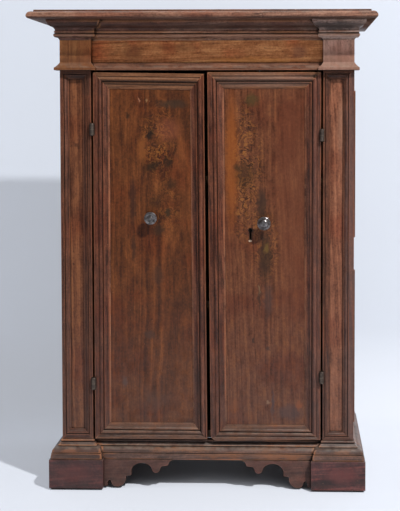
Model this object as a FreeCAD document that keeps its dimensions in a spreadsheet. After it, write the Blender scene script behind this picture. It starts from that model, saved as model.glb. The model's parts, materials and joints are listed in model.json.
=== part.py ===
import FreeCAD, Part
import math
import os
import re
import Sketcher

# A small two-door walnut cupboard with an architectural front: two pilasters stand on plinth
# blocks and carry frieze blocks and a cornice, and a pair of plank doors hangs between them on
# lift-off hinges. Millimetres; front faces -Y, +X to the right, +Z up from the floor.

# Sizes that can each be set by themselves.
SIZES = {
    # the case
    "case_width": 715,              # over the outer faces of the pilasters
    "case_depth": 400,              # from the front of the pilaster frames to the back
    "facade_thickness": 30,         # pilasters and blocks, in front of the side boards
    "facade_recess": 16,            # how far the frieze and the base sit back between the blocks
    "side_thickness": 22,
    "shelf_thickness": 16,
    "bottom_thickness": 18,
    "top_thickness": 18,
    "back_thickness": 12,
    "rebate_width": 10,
    "housing_depth": 6,
    "board_gap": 0.6,
    "lower_shelf_level": 430,
    "upper_shelf_level": 742,
    "shelf_setback": 32,
    "cleat_side": 20,
    "cleat_back_gap": 26,
    "blank_spare": 150,             # length of the blanks that is always cut away
    # heights, from the floor
    "plinth_height": 70,
    "pilaster_height": 905.5,
    "block_face_height": 53.5,
    # pilasters
    "pilaster_width": 75.5,
    "pilaster_field_depth": 9,
    "pilaster_strip": 21,
    "left_foot_strip": 24,
    "right_inner_strip": 17,
    "right_outer_strip": 26,
    "strip_edge_height": 8.5,
    "strip_quirk": 1.6,
    "strip_quirk_depth": 3,
    "strip_quirk_rise": 1.2,
    "strip_ovolo_width": 8,
    "strip_ovolo_drop": 3.2,
    "strip_fillet": 3,
    # frame planted on each side of the case
    "side_strip": 24,
    "side_strip_height": 6.5,
    "side_frame_bottom": 140,
    "side_frame_top": 971,
    "side_frame_inset": 40,
    "broken_from": 524,
    "broken_to": 606,
    # doors
    "door_thickness": 20,
    "door_gap": 5,
    "door_stop_gap": 1,
    "meeting_gap": 9,
    "meeting_top_shift": 3,
    "meeting_foot_shift": 3.5,
    "door_head_gap": 5,
    "right_foot_drop": 3,           # the right door sags at its free corner
    "right_foot_rise": 4,
    "left_foot_gap": 0.5,
    "left_head_drop": 4,
    "worn_corner_width": 18,        # the free lower corner of the right door is worn round
    "worn_corner_height": 12,
    "door_strip": 39,
    "left_free_strip": 34,
    "door_edge_height": 8.3,
    "door_hollow_width": 4,
    "door_hollow_drop": 0.5,
    "door_bead": 8.5,
    "door_bead_rise": 2.2,
    "door_quirk": 2,
    "door_quirk_depth": 3.5,
    "door_quirk_rise": 1.2,
    "door_ovolo_width": 6,
    "door_ovolo_drop": 2.3,
    "door_band": 8,
    "door_band_drop": 0.6,
    "door_step": 1.3,
    "door_toe": 2.5,
    "ledge_height": 76,
    "ledge_thickness": 14,
    "ledge_margin": 26,
    "ledge_inset": 120,
    # frieze block with its flared foot, and the moulding between the blocks
    "flare_reach": 12,
    "flare_lip": 6,
    "flare_height": 13,
    "architrave_reach": 12,
    "architrave_lip": 6,
    "architrave_slope": 8,
    "architrave_slope_height": 8,
    "architrave_fillet": 4,
    # bed moulding under the cornice
    "bed_cavetto": 7.5,
    "bed_cavetto_height": 7,
    "bed_bead_ledge": 1,
    "bed_bead": 9.5,
    "bed_bead_rise": 4,
    "bed_quirk": 1.2,
    "bed_fillet_reach": 2.5,
    "bed_fillet": 4.5,
    "bed_fillet_ledge": 2,
    "bed_cove": 7,
    "bed_cove_height": 9.5,
    "bed_round": 9,
    "bed_round_height": 11,
    "bed_crown_ledge": 2,
    "bed_crown": 6.3,
    # cornice board
    "cornice_shift": 7.5,           # how far the board sits to the left of the case's middle
    "cornice_soffit": 56,
    "cornice_chin": 4,
    "cornice_chin_height": 5,
    "cornice_chin_round": 1,
    "cornice_ovolo": 15,
    "cornice_ovolo_height": 11,
    "cornice_fillet": 5,
    # base moulding, from its foot up
    "base_foot_reach": 24.5,
    "base_foot": 3,
    "base_ovolo": 1,
    "base_ovolo_height": 8.5,
    "base_fillet": 3,
    "base_fillet_ledge": 1.5,
    "base_heel": 1.5,
    "base_heel_height": 1.5,
    "base_torus": 12,
    "base_torus_height": 12.5,
    "base_quirk": 2,
    "base_quirk_height": 2,
    "base_splay": 6,
    "base_splay_height": 6.5,
    "base_bead": 5,
    "base_bead_reach": 1.5,
    "base_centre_drop": 3.5,
    "plinth_reach": 28.2,
    "pad_height": 4.5,              # thin pads that keep the plinth off the floor
    "pad_width": 26,
    "pad_length": 40,
    "pad_inset": 4,
    # scroll-cut brackets under the base moulding
    "bracket_length": 170,
    "bracket_thickness": 18,
    "bracket_recess": 16,
    "bracket_floor_gap": 2,
    "tip_cove": 11,
    "tip_cove_height": 10,
    "tip_nose": 2,
    "tip_nose_height": 4,
    "tip_shelf": 11,
    "tip_shelf_fall": 1,
    "pendant_neck": 8,
    "pendant_width": 20,
    "pendant_drop": 9,
    "arch_haunch": 13,
    "arch_span": 24,
    "arch_crown": 2.5,
    "arch_fall": 14,
    "arch_fall_height": 17,
    "cusp_drop": 11,
    "cusp_ledge": 14,
    "cusp_fall": 2,
    "lobe_reach": 31,
    "lobe_height": 23.5,
    "lobe_fullness": 13,
    "spur_notch": 8,
    "spur_notch_rise": 5,
    "spur_width": 8.5,
    # hinges
    "barrel_radius": 5.5,
    "barrel_round": 2.2,
    "knuckle_height": 15,
    "knuckle_play": 0.4,
    "hinge_pin_radius": 2.5,
    "hinge_pin_play": 0.05,
    "hinge_pin_length": 11,
    "hinge_pin_headroom": 1,
    "hinge_forward": 2,
    "leaf_thickness": 1.8,
    "leaf_offset": 0.7,
    "leaf_reach": 26,
    "barrel_clearance": 0.6,
    "left_upper_hinge": 876,
    "left_lower_hinge": 252,
    "right_upper_hinge": 862,
    "right_lower_hinge": 270,
    # knobs
    "left_knob_across": -137,
    "left_knob_level": 660,
    "right_knob_level": 648,
    "spindle_radius": 3,
    "spindle_play": 0.1,
    "rose_radius": 9,
    "rose_thickness": 2,
    "neck_radius": 4.5,
    "neck_length": 8,
    "left_knob_radius": 14.2,
    "right_knob_radius": 15,
    "knob_rim": 4,
    "knob_flare": 5.5,
    "knob_dish": 2.5,
    "knob_dome": 7,
    "knob_flat": 1,
    "boss_radius": 4.5,
    "boss_height": 3.5,
    "nut_side": 14,
    "nut_thickness": 6,
    "spindle_end": 3,
    # lock on the back of the right door
    "key_backset": 97.7,            # from the lock's end at the door's edge to the key post
    "keyhole_level": 629.5,
    "keyhole_radius": 5,
    "keyhole_slot": 4.6,
    "keyhole_length": 28,
    "lock_length": 118,
    "lock_height": 90,
    "lock_depth": 20,
    "lock_wall": 1.6,
    "lock_drop": 54,
    "lock_nut_gap": 6,
    "bolt_play": 0.3,
    "post_reach": 8,
    "bolt_rest_height": 8,
    "spring_thickness": 0.8,
    "spring_length": 60,
    "lock_bolt_height": 12,
    "lock_bolt_thickness": 5,
    "lock_bolt_length": 96,
    "lock_bolt_level": 648,
    "bolt_standoff": 4,
    "key_post_radius": 2,
    # bolt on the back of the left door, and its staples
    "top_bolt_across": -34,
    "top_bolt_width": 12,
    "top_bolt_thickness": 5,
    "top_bolt_standoff": 1.5,
    "top_bolt_length": 104,
    "top_bolt_below": 1,
    "bolt_knob_radius": 5,
    "bolt_knob_length": 10,
    "staple_bar": 3.5,
    "staple_width": 6,
    "staple_slack": 0.5,
    "lower_staple_drop": 84,
    "upper_staple_drop": 18,
    "keeper_inset": 1.6,
    "keeper_slack": 2,
}

# Places and overall measures that follow from the sizes.
PLACES = {
    "cornice_reach": "cornice_soffit + cornice_chin",
    "front": "-(case_depth - cornice_reach) / 2",
    "back": "front + case_depth",
    "case_front": "front + facade_thickness",
    "recess_face": "front + facade_recess",
    "half_width": "case_width / 2",
    "inner_half": "half_width - side_thickness",
    "opening_half": "half_width - pilaster_width",
    "base_height": "base_foot + base_ovolo_height + base_fillet + base_heel_height"
                   " + base_torus_height + 2 * base_quirk_height + base_splay_height + base_bead",
    "base_top": "plinth_height + base_height",
    "frieze_bottom": "base_top + pilaster_height",
    "block_height": "flare_lip + flare_height + block_face_height",
    "frieze_top": "frieze_bottom + block_height",
    "bed_height": "bed_cavetto_height + bed_bead + bed_quirk + bed_fillet + bed_cove_height"
                  " + bed_round_height + bed_crown",
    "bed_top": "frieze_top + bed_height",
    "block_inner": "opening_half - plinth_reach",
    "bottom_level": "base_top - base_centre_drop",
    "door_head": "frieze_bottom - door_head_gap",
    "right_foot": "base_top - right_foot_drop",
    "left_foot": "base_top + left_foot_gap",
    "door_relief": "door_edge_height - door_hollow_drop + door_bead_rise",
    "door_face": "front + door_relief",
    "door_back": "door_face + door_thickness",
    "hinge_edge": "opening_half - door_gap",
    "pivot_across": "opening_half - door_gap / 2",
    "pivot_depth": "front - hinge_forward",
    "meeting_top": "-meeting_top_shift",
    "meeting_foot": "meeting_foot_shift",
    "shelf_front": "case_front + shelf_setback",
    "shelf_back": "back - back_thickness",
    "notch_radius": "barrel_radius + barrel_clearance",
    "bolt_head": "door_head - left_head_drop - top_bolt_below",
    "lock_edge": "meeting_gap / 2 + meeting_foot_shift",
    "lock_foot": "keyhole_level - lock_drop",
    "keyhole_across": "lock_edge + key_backset",
    "right_knob_across": "lock_edge + lock_length + lock_nut_gap + nut_side / 2",
    "bracket_top": "plinth_height - base_centre_drop",
}

doc = FreeCAD.newDocument("WalnutCupboard")
sheet = doc.addObject("Spreadsheet::Sheet", "Sizes")
for row, (name, size) in enumerate(SIZES.items(), start=1):
    sheet.set(f"A{row}", name)
    sheet.set(f"B{row}", str(size))
    sheet.setAlias(f"B{row}", name)


def formula(text):
    """Spell a formula of plain size names as the document's expressions want it."""
    def spelled(match):
        word = match[0]
        home = "Sizes." if word in SIZES else "Places." if word in PLACES else ""
        return home + word
    return re.sub(r"[a-z][a-z_]*", spelled, str(text))


places = doc.addObject("Spreadsheet::Sheet", "Places")
for row, (name, text) in enumerate(PLACES.items(), start=1):
    places.set(f"A{row}", name)
    places.setAlias(f"B{row}", name)
    places.set(f"B{row}", "=" + formula(text).replace("Places.", ""))
doc.recompute()


def number(text):
    """The present value of a formula."""
    return float(sheet.evalExpression(formula(text)))


def at(thing, across="0", deep="0", high="0"):
    """Bind where a piece stands: across from the middle of the case, up from its plinth's foot."""
    for axis, text in zip("xyz", (f"{across} + cornice_shift", deep, f"{high} + pad_height")):
        thing.setExpression(f"Placement.Base.{axis}", formula(text))
    return thing


# --- outlines and bodies ------------------------------------------------------------------

def tied(kind, first, second, text):
    """A distance from one sketch point to another and its formula, kept positive."""
    span = number(text)
    if abs(span) < 1e-9:
        level = "Vertical" if kind == "DistanceX" else "Horizontal"
        return Sketcher.Constraint(level, *first, *second), None
    if span < 0:
        return Sketcher.Constraint(kind, *second, *first, -span), f"-({text})"
    return Sketcher.Constraint(kind, *first, *second, span), text


def draw(sketch, start, steps, flip=1):
    """Draw a closed outline of ("line", dx, dy) and ("arc", dx, dy, bulge to the left) steps."""
    sign = "" if flip > 0 else "-"
    here = FreeCAD.Vector(flip * number(start[0]), number(start[1]), 0)
    first = here
    shapes, ties, ends = [], [], []
    for turn, (kind, across, up, *bulge) in enumerate(steps):
        run = FreeCAD.Vector(flip * number(across), number(up), 0)
        if run.Length < 1e-9:
            continue
        there = here + run
        place = len(shapes)
        if kind == "line":
            shapes.append(Part.LineSegment(here, there))
            entry, leave = (place, 1), (place, 2)
        else:
            rise = flip * number(bulge[0])
            radius = (run.Length ** 2 / 4 + rise ** 2) / (2 * abs(rise))
            left = FreeCAD.Vector(-run.y, run.x, 0) / run.Length
            centre = (here + there) / 2 + left * (rise - math.copysign(radius, rise))
            low, high = (there, here) if rise > 0 else (here, there)
            angles = [math.atan2(point.y - centre.y, point.x - centre.x) for point in (low, high)]
            circle = Part.Circle(centre, FreeCAD.Vector(0, 0, 1), radius)
            shapes.append(Part.ArcOfCircle(circle, *angles))
            entry, leave = ((place, 2), (place, 1)) if rise > 0 else ((place, 1), (place, 2))
            rule = f"((({across})^2 + ({up})^2) / 4 + ({bulge[0]})^2) / (2 * abs({bulge[0]}))"
            ties.append((Sketcher.Constraint("Radius", place, radius), rule))
        if place == 0:
            ties.append(tied("DistanceX", (-1, 1), entry, f"{sign}({start[0]})"))
            ties.append(tied("DistanceY", (-1, 1), entry, start[1]))
        else:
            ties.append((Sketcher.Constraint("Coincident", *ends[-1], *entry), None))
        ends += [entry, leave]
        here = there
        if turn + 1 < len(steps) or (there - first).Length > 1e-6:
            ties.append(tied("DistanceX", entry, leave, f"{sign}({across})"))
            ties.append(tied("DistanceY", entry, leave, up))
    if (here - first).Length > 1e-6:
        closing = len(shapes)
        shapes.append(Part.LineSegment(here, first))
        ties.append((Sketcher.Constraint("Coincident", *ends[-1], closing, 1), None))
        ends.append((closing, 2))
    ties.append((Sketcher.Constraint("Coincident", *ends[-1], *ends[0]), None))
    sketch.addGeometry(shapes, False)
    base = sketch.ConstraintCount
    sketch.addConstraint([tie for tie, _ in ties])
    for place, (_, text) in enumerate(ties):
        if text is not None:
            sketch.setExpression(f"Constraints[{base + place}]", formula(text))


def sketch_on(body, plane, name):
    """A sketch on one of the body's own origin planes."""
    sketch = body.newObject("Sketcher::SketchObject", name)
    support = next(face for face in body.Origin.OriginFeatures if face.Role == plane)
    sketch.AttachmentSupport = (support, [""])
    sketch.MapMode = "FlatFace"
    return sketch


def outlined(body, plane, start, steps, flip=1):
    """A closed outline, as a sketch of the body."""
    sketch = sketch_on(body, plane, f"{body.Label}_outline")
    draw(sketch, start, steps, flip)
    return sketch


def padded(label, plane, start, steps, length, back=False, flip=1):
    """A body: one outline, padded."""
    body = doc.addObject("PartDesign::Body", label)
    pad = body.newObject("PartDesign::Pad", f"{label}_pad")
    pad.Profile = outlined(body, plane, start, steps, flip)
    pad.setExpression("Length", formula(length))
    pad.Reversed = back
    body.Tip = pad
    return body


def pocketed(body, plane, start, steps, flip=1):
    """Cut one outline right through the body, both ways from its plane."""
    pocket = body.newObject("PartDesign::Pocket", f"{body.Label}_pocket")
    pocket.Profile = outlined(body, plane, start, steps, flip)
    pocket.Type = "ThroughAll"
    pocket.SideType = "Symmetric"
    body.Tip = pocket
    return body


def revolved(label, start, steps):
    """A body turned about its own Z axis from half a section on XZ."""
    body = doc.addObject("PartDesign::Body", label)
    turning = body.newObject("PartDesign::Revolution", f"{label}_turning")
    section = outlined(body, "XZ_Plane", start, steps)
    turning.Profile = section
    turning.ReferenceAxis = (section, ["V_Axis"])
    turning.Angle = 360
    body.Tip = turning
    return body


def board(label, across, deep, high, size_across, size_deep, size_high):
    """A plain board: its low corner and its three sizes."""
    box = doc.addObject("Part::Box", label)
    for side, text in zip(("Length", "Width", "Height"), (size_across, size_deep, size_high)):
        box.setExpression(side, formula(text))
    return at(box, across, deep, high)


def rod(label, radius, length, across, deep, high):
    """An upright cylinder from its centre at the foot."""
    cylinder = doc.addObject("Part::Cylinder", label)
    cylinder.setExpression("Radius", formula(radius))
    cylinder.setExpression("Height", formula(length))
    return at(cylinder, across, deep, high)


def lying_rod(label, radius, length, across, deep, high):
    """A cylinder running back along +Y from the centre of its front end."""
    cylinder = rod(label, radius, length, across, deep, high)
    cylinder.Placement.Rotation = FreeCAD.Rotation(FreeCAD.Vector(1, 0, 0), -90)
    return cylinder


def cut(label, base, *tools):
    """The base without the tools."""
    result = doc.addObject("Part::Cut", label)
    result.Base = base
    result.Tool = tools[0] if len(tools) == 1 else group(f"{label}_tools", *tools)
    return result


def fused(label, *pieces):
    """Several primitives made one solid."""
    result = doc.addObject("Part::MultiFuse", label)
    result.Shapes = list(pieces)
    return result


def group(label, *pieces):
    """Separate solids kept in one node."""
    result = doc.addObject("Part::Compound", label)
    result.Links = list(pieces)
    return result


nodes = []


def node(piece):
    """Count a piece as a sub-part, written to a file of its own name."""
    nodes.append(piece)
    return piece


def total(terms):
    """Formulas added up as one formula."""
    return " + ".join(f"({text})" for text in terms)


def moulding(label, profile, foot, length, thickness, across, deep, high):
    """A straight moulding along X: the profile climbs from its foot, projecting to -Y."""
    crown = total([foot] + [step[1] for step in profile])
    steps = [("line", f"{thickness} + {foot}", "0"), *profile,
             ("line", f"-({thickness} + {crown})", "0")]
    return at(padded(label, "YZ_Plane", (f"-({thickness})", "0"), steps, length, flip=-1),
              across, deep, high)


def block(label, profile, foot, width, thickness, across, deep, high):
    """A block with its front and both ends moulded: the front section met by the elevation."""
    crown = total([foot] + [step[1] for step in profile])
    rise = total([step[2] for step in profile])
    section = moulding(f"{label}_section", profile, foot, f"{width} + 2 * blank_spare",
                       thickness, f"{across} - blank_spare", deep, high)
    down = [(kind, run, f"-({climb})", *bulge) for kind, run, climb, *bulge in reversed(profile)]
    steps = [("line", f"{width} + 2 * ({foot})", "0"), *profile,
             ("line", f"-({width} + 2 * ({crown}))", "0"), *down]
    elevation = padded(f"{label}_elevation", "XZ_Plane", (f"-({foot})", "0"), steps,
                       f"{thickness} + blank_spare")
    at(elevation, across, f"{deep} + {thickness}", high)
    result = doc.addObject("Part::Common", label)
    result.Base = section
    result.Tool = elevation
    return result


# Which way along, inward and outward are on the three faces that carry mitred frames.
FACES = {
    "front": (FreeCAD.Vector(1, 0, 0), FreeCAD.Vector(0, 0, 1), FreeCAD.Vector(0, -1, 0)),
    "left": (FreeCAD.Vector(0, -1, 0), FreeCAD.Vector(0, 0, 1), FreeCAD.Vector(-1, 0, 0)),
    "right": (FreeCAD.Vector(0, 1, 0), FreeCAD.Vector(0, 0, 1), FreeCAD.Vector(1, 0, 0)),
}


def mitre(start, corner, end, first_width, second_width):
    """How far a mitre runs along the second strip, from the corner between two strips."""
    first = [f"({corner[axis]} - ({start[axis]}))" for axis in (0, 1)]
    second = [f"({end[axis]} - ({corner[axis]}))" for axis in (0, 1)]
    spans = f"sqrt(({first[0]}^2 + {first[1]}^2) * ({second[0]}^2 + {second[1]}^2))"
    along = f"({first[0]} * {second[0]} + {first[1]} * {second[1]})"
    turning = f"({first[0]} * {second[1]} - {first[1]} * {second[0]})"
    return f"({first_width} * {spans} - {second_width} * {along}) / {turning}"


def mitred_frame(label, face, plane, corners, widths, profile):
    """Four mitred strips round a face. Corners and widths run foot, right, head, left."""
    along, upward, outward = FACES[face]
    strips = []
    for turn, side in enumerate(("foot", "right", "head", "left")):
        before, start, end, after = (corners[(turn + step) % 4] for step in (-1, 0, 1, 2))
        width = widths[turn]
        tilt = math.degrees(math.atan2(number(f"{end[1]} - ({start[1]})"),
                                       number(f"{end[0]} - ({start[0]})")))
        length = f"sqrt(({end[0]} - ({start[0]}))^2 + ({end[1]} - ({start[1]}))^2)"
        first = mitre(before, start, end, widths[turn - 1], width)
        last = f"-({mitre(after, end, start, widths[(turn + 1) % 4], width)})"
        strip = padded(f"{label}_{side}_strip", "YZ_Plane", ("0", "0"), profile(width), length)
        pocketed(strip, "XY_Plane", ("0", "0"), [("line", first, width), ("line", f"-({first})", "0")])
        pocketed(strip, "XY_Plane", (length, "0"), [("line", "0", width), ("line", f"-({last})", "0")])
        turned = FreeCAD.Rotation(along, upward, outward, "ZXY")
        strip.Placement.Rotation = turned * FreeCAD.Rotation(FreeCAD.Vector(0, 0, 1), tilt)
        strips.append(at(strip, f"({start[0]}) * {along.x} + ({plane}) * {abs(outward.x)}",
                         f"({start[0]}) * {along.y} + ({plane}) * {abs(outward.y)}", start[1]))
    foot, right, head, left = strips
    return (left, right), (foot, head)


# --- the carcass --------------------------------------------------------------------------
# Side boards run to the floor; the bottom and the top are housed in them, the back boards
# are nailed in rebates along their rear edges.

carcass_depth = "back - case_front"
inner_width = "2 * inner_half"
for side, name in ((-1, "left"), (1, "right")):
    low = "-half_width" if side < 0 else "inner_half"
    blank = board(f"side_{name}_blank", low, "case_front", "0",
                  "side_thickness", carcass_depth, "bed_top")
    edge = "-inner_half - {0}" if side < 0 else "inner_half"
    rebate = board(f"rebate_{name}", edge.format("rebate_width"), "shelf_back", "bottom_level",
                   "rebate_width", "back_thickness", "bed_top - bottom_level")
    housings = [board(f"housing_{name}_{place}", edge.format("housing_depth"), "case_front", level,
                      "housing_depth", "shelf_back - case_front", thickness)
                for place, level, thickness in (
                    ("foot", "bottom_level", "bottom_thickness"),
                    ("head", "bed_top - top_thickness", "top_thickness"))]
    node(cut(f"side_board_{name}", blank, rebate, *housings))

housed = "-inner_half - housing_depth"
housed_width = "2 * (inner_half + housing_depth)"
node(board("bottom_board", housed, "case_front + door_stop_gap", "bottom_level", housed_width,
           "shelf_back - case_front - door_stop_gap", "bottom_thickness"))
node(board("carcass_top", housed, "case_front", "bed_top - top_thickness", housed_width,
           "shelf_back - case_front", "top_thickness"))

for name, level in (("lower_shelf", "lower_shelf_level"), ("upper_shelf", "upper_shelf_level")):
    node(board(name, "-inner_half + board_gap / 2", "shelf_front", level,
               "2 * inner_half - board_gap", "shelf_back - shelf_front", "shelf_thickness"))

cleats = []
cleat_length = "shelf_back - shelf_front - cleat_side - cleat_back_gap"
for name, level in (("lower", "lower_shelf_level"), ("upper", "upper_shelf_level")):
    for side, start in (("left", "-inner_half"), ("right", "inner_half - cleat_side")):
        cleats.append(board(f"{name}_cleat_{side}", start, "shelf_front + cleat_side",
                            f"{level} - cleat_side", "cleat_side", cleat_length, "cleat_side"))
node(group("shelf_cleats", *cleats))

back_width = "(2 * (inner_half + rebate_width) - 2 * board_gap) / 3"
for turn, name in enumerate(("left", "middle", "right")):
    node(board(f"back_board_{name}", f"-inner_half - rebate_width + {turn} * ({back_width} + board_gap)",
               "shelf_back", "bottom_level", back_width, "back_thickness", "bed_top - bottom_level"))

# --- pilasters ----------------------------------------------------------------------------
# A plank on each front corner, with a mitred frame of moulding planted on it round a sunk field.


def ovolo_strip(width, height="strip_edge_height"):
    """Section of a frame moulding: flat edge, sunk quirk, ovolo falling inward, thin fillet."""
    return [("line", "0", height),
            ("line", f"{width} - strip_quirk - strip_ovolo_width - strip_fillet", "0"),
            ("line", "0", "-strip_quirk_depth"),
            ("line", "strip_quirk", "0"),
            ("line", "0", "strip_quirk_rise"),
            ("arc", "strip_ovolo_width", "-strip_ovolo_drop", "strip_ovolo_drop / 3"),
            ("line", "strip_fillet", "0"),
            ("line", "0", f"-({height} - strip_quirk_depth + strip_quirk_rise - strip_ovolo_drop)")]


def side_moulding(width):
    """The same section, planed thinner, for the frames on the sides."""
    return ovolo_strip(width, "side_strip_height")


hinge_levels = {"left": ("left_upper_hinge", "left_lower_hinge"),
                "right": ("right_upper_hinge", "right_lower_hinge")}


def barrel_notches(label, side, name):
    """Cylinders that let the two hinge barrels of one side into the mouldings."""
    return [rod(f"{label}_notch_{turn}", "notch_radius", "2 * (knuckle_height + barrel_clearance)",
                f"{side} * pivot_across", "pivot_depth",
                f"{level} - knuckle_height - barrel_clearance")
            for turn, level in enumerate(hinge_levels[name])]


for side, name in ((-1, "left"), (1, "right")):
    low = "-half_width" if side < 0 else "opening_half"
    high = "-opening_half" if side < 0 else "half_width"
    face = "front + pilaster_field_depth"
    node(board(f"pilaster_{name}", low, face, "base_top",
               "pilaster_width", "case_front - (front + pilaster_field_depth)", "pilaster_height"))
    corners = [(low, "base_top"), (high, "base_top"), (high, "frieze_bottom"), (low, "frieze_bottom")]
    widths = ["pilaster_strip"] * 4
    if side < 0:
        widths[0] = "left_foot_strip"
    else:
        widths[1], widths[3] = "right_outer_strip", "right_inner_strip"
    uprights, rails = mitred_frame(f"pilaster_{name}", "front", face, corners, widths, ovolo_strip)
    label = f"pilaster_{name}_uprights"
    node(cut(label, group(f"{label}_run", *uprights), *barrel_notches(label, side, name)))
    node(group(f"pilaster_{name}_rails", *rails))

# --- frieze and architrave ----------------------------------------------------------------
# Frieze blocks stand over the pilasters and flare at the foot; the frieze board between them
# sits back, with a smaller moulding along its lower edge coped to the blocks.

flare = [("line", "0", "flare_lip"),
         ("arc", "-flare_reach", "flare_height", "flare_lip / 6"),
         ("line", "0", "block_face_height")]
frieze_board = node(board("frieze_board", "-opening_half", "recess_face", "frieze_bottom",
                          "2 * opening_half", "case_front - recess_face", "bed_top - frieze_bottom"))
frieze_blocks = []
for name, low in (("left", "-half_width"), ("right", "opening_half")):
    worked = block(f"frieze_block_{name}_worked", flare, "flare_reach", "pilaster_width",
                   "facade_thickness", low, "front", "frieze_bottom")
    frieze_blocks.append(node(cut(f"frieze_block_{name}", worked, frieze_board)))

architrave = [("line", "0", "architrave_lip"),
              ("arc", "-architrave_slope", "architrave_slope_height", "architrave_fillet / 4"),
              ("line", "0", "architrave_fillet")]
architrave_run = moulding("architrave_run", architrave, "architrave_reach", "2 * opening_half", "0",
                          "-opening_half", "recess_face", "frieze_bottom")
node(cut("architrave_moulding", architrave_run, *frieze_blocks))

# --- cornice ------------------------------------------------------------------------------
# Bed moulding: cavetto, bead, quirk, fillet and cyma. Over each pilaster it is worked on a
# block with moulded ends; between them it runs straight, coped to the blocks.

bed = [("arc", "bed_cavetto", "bed_cavetto_height", "bed_cavetto_height / 4"),
       ("line", "bed_bead_ledge", "0"),
       ("arc", "0", "bed_bead", "-bed_bead_rise"),
       ("line", "0", "bed_quirk"),
       ("line", "bed_fillet_reach", "0"),
       ("line", "0", "bed_fillet"),
       ("line", "-bed_fillet_ledge", "0"),
       ("arc", "bed_cove", "bed_cove_height", "bed_crown_ledge"),
       ("arc", "bed_round", "bed_round_height", "-bed_crown_ledge"),
       ("line", "bed_crown_ledge", "0"),
       ("line", "0", "bed_crown")]
bed_blocks = []
for name, low in (("left", "-half_width"), ("right", "opening_half")):
    worked = block(f"cornice_bed_{name}_worked", bed, "0", "pilaster_width", "facade_thickness",
                   low, "front", "frieze_top")
    bed_blocks.append(node(cut(f"cornice_bed_{name}", worked, frieze_board)))
bed_run = moulding("bed_run", bed, "0", "2 * opening_half", "0",
                   "-opening_half", "recess_face", "frieze_top")
node(cut("cornice_bed_centre", bed_run, *bed_blocks))

cornice_edge = [("arc", "cornice_chin", "cornice_chin_height", "-cornice_chin_round"),
                ("arc", "-cornice_ovolo", "cornice_ovolo_height", "-cornice_fillet"),
                ("line", "0", "cornice_fillet")]
node(block("cornice_board", cornice_edge, "cornice_soffit", "case_width", "case_depth",
           "-half_width - cornice_shift", "front", "bed_top"))

# --- base ---------------------------------------------------------------------------------
# Base moulding over the plinth: a block with moulded ends under each pilaster, plain lengths
# down the sides, and a recessed length under the doors, coped to the blocks.

base = [("line", "0", "base_foot"),
        ("arc", "-base_ovolo", "base_ovolo_height", "-base_ovolo / 2"),
        ("line", "0", "base_fillet"),
        ("line", "-base_fillet_ledge - base_heel", "0"),
        ("line", "0", "base_heel_height"),
        ("line", "base_heel", "0"),
        ("arc", "-base_torus", "base_torus_height", "-base_torus / 3"),
        ("line", "-base_quirk", "0"),
        ("line", "0", "base_quirk_height"),
        ("line", "base_quirk", "0"),
        ("line", "-base_splay", "base_splay_height"),
        ("line", "-base_quirk", "0"),
        ("line", "0", "base_quirk_height"),
        ("line", "base_quirk / 2", "0"),
        ("arc", "-base_bead_reach", "base_bead", "-base_bead_reach")]
base_blocks = [node(block(f"base_block_{name}", base, "base_foot_reach", "pilaster_width",
                          "facade_thickness", low, "front", "plinth_height"))
               for name, low in (("left", "-half_width"), ("right", "opening_half"))]
base_run = moulding("base_run", base, "base_foot_reach", "2 * opening_half",
                    "case_front - recess_face", "-opening_half", "recess_face",
                    "plinth_height - base_centre_drop")

base_crown = total(["base_foot_reach"] + [step[1] for step in base])
for side, name in ((-1, "left"), (1, "right")):
    steps = [("line", "base_foot_reach", "0"), *base, ("line", f"-({base_crown})", "0")]
    length = padded(f"base_side_{name}", "XZ_Plane", ("0", "0"), steps, carcass_depth,
                    back=True, flip=side)
    node(at(length, f"{side} * half_width", "case_front", "plinth_height"))

plinth_blocks = []
for side, name in ((-1, "left"), (1, "right")):
    low = "-half_width - plinth_reach" if side < 0 else "block_inner"
    outer = "-half_width - plinth_reach" if side < 0 else "half_width"
    corner = "-half_width - plinth_reach + pad_inset"
    if side > 0:
        corner = "half_width + plinth_reach - pad_inset - pad_width"
    pads = [board(f"{place}_pad_{name}", corner, deep, "-pad_height", "pad_width", "pad_length",
                  "pad_height")
            for place, deep in (("front", "front - plinth_reach + pad_inset"),
                                ("rear", "back - pad_inset - pad_length"))]
    plinth_face = board(f"plinth_block_{name}_face", low, "front - plinth_reach", "0",
                        "pilaster_width + 2 * plinth_reach", "facade_thickness + plinth_reach",
                        "plinth_height")
    plinth_blocks.append(node(group(f"plinth_block_{name}", plinth_face, pads[0])))
    plinth_side = board(f"plinth_side_{name}_board", outer, "case_front", "0",
                        "plinth_reach", carcass_depth, "plinth_height")
    node(group(f"plinth_side_{name}", plinth_side, pads[1]))
node(cut("base_moulding_centre", base_run, *base_blocks, *plinth_blocks))

# Scroll-cut brackets, drawn from the tip back to the plinth block: a cove and a nose, a small
# pendant, a flat arch, a cusp, a round lobe, a rounded notch and a spur against the block.
bracket = [("line", "bracket_length", "0"),
           ("arc", "-tip_cove", "-tip_cove_height", "-tip_cove_height / 4"),
           ("line", "-tip_nose", "-tip_nose_height"),
           ("line", "-tip_shelf", "-tip_shelf_fall"),
           ("arc", "-pendant_neck", "-pendant_neck", "-pendant_neck / 4"),
           ("arc", "-pendant_width", "0", "pendant_drop"),
           ("arc", "-arch_haunch", "arch_haunch", "-arch_haunch / 5"),
           ("arc", "-arch_span", "0", "-arch_crown"),
           ("arc", "-arch_fall", "-arch_fall_height", "-arch_haunch / 5"),
           ("line", "0", "-cusp_drop"),
           ("line", "-cusp_ledge", "-cusp_fall"),
           ("arc", "-lobe_reach", "-lobe_height", "lobe_fullness"),
           ("line", "-spur_notch / 2", "spur_notch"),
           ("arc", "-spur_notch", "0", "-spur_notch_rise")]
spur_edge = total(["0"] + [step[1] for step in bracket])
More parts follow.
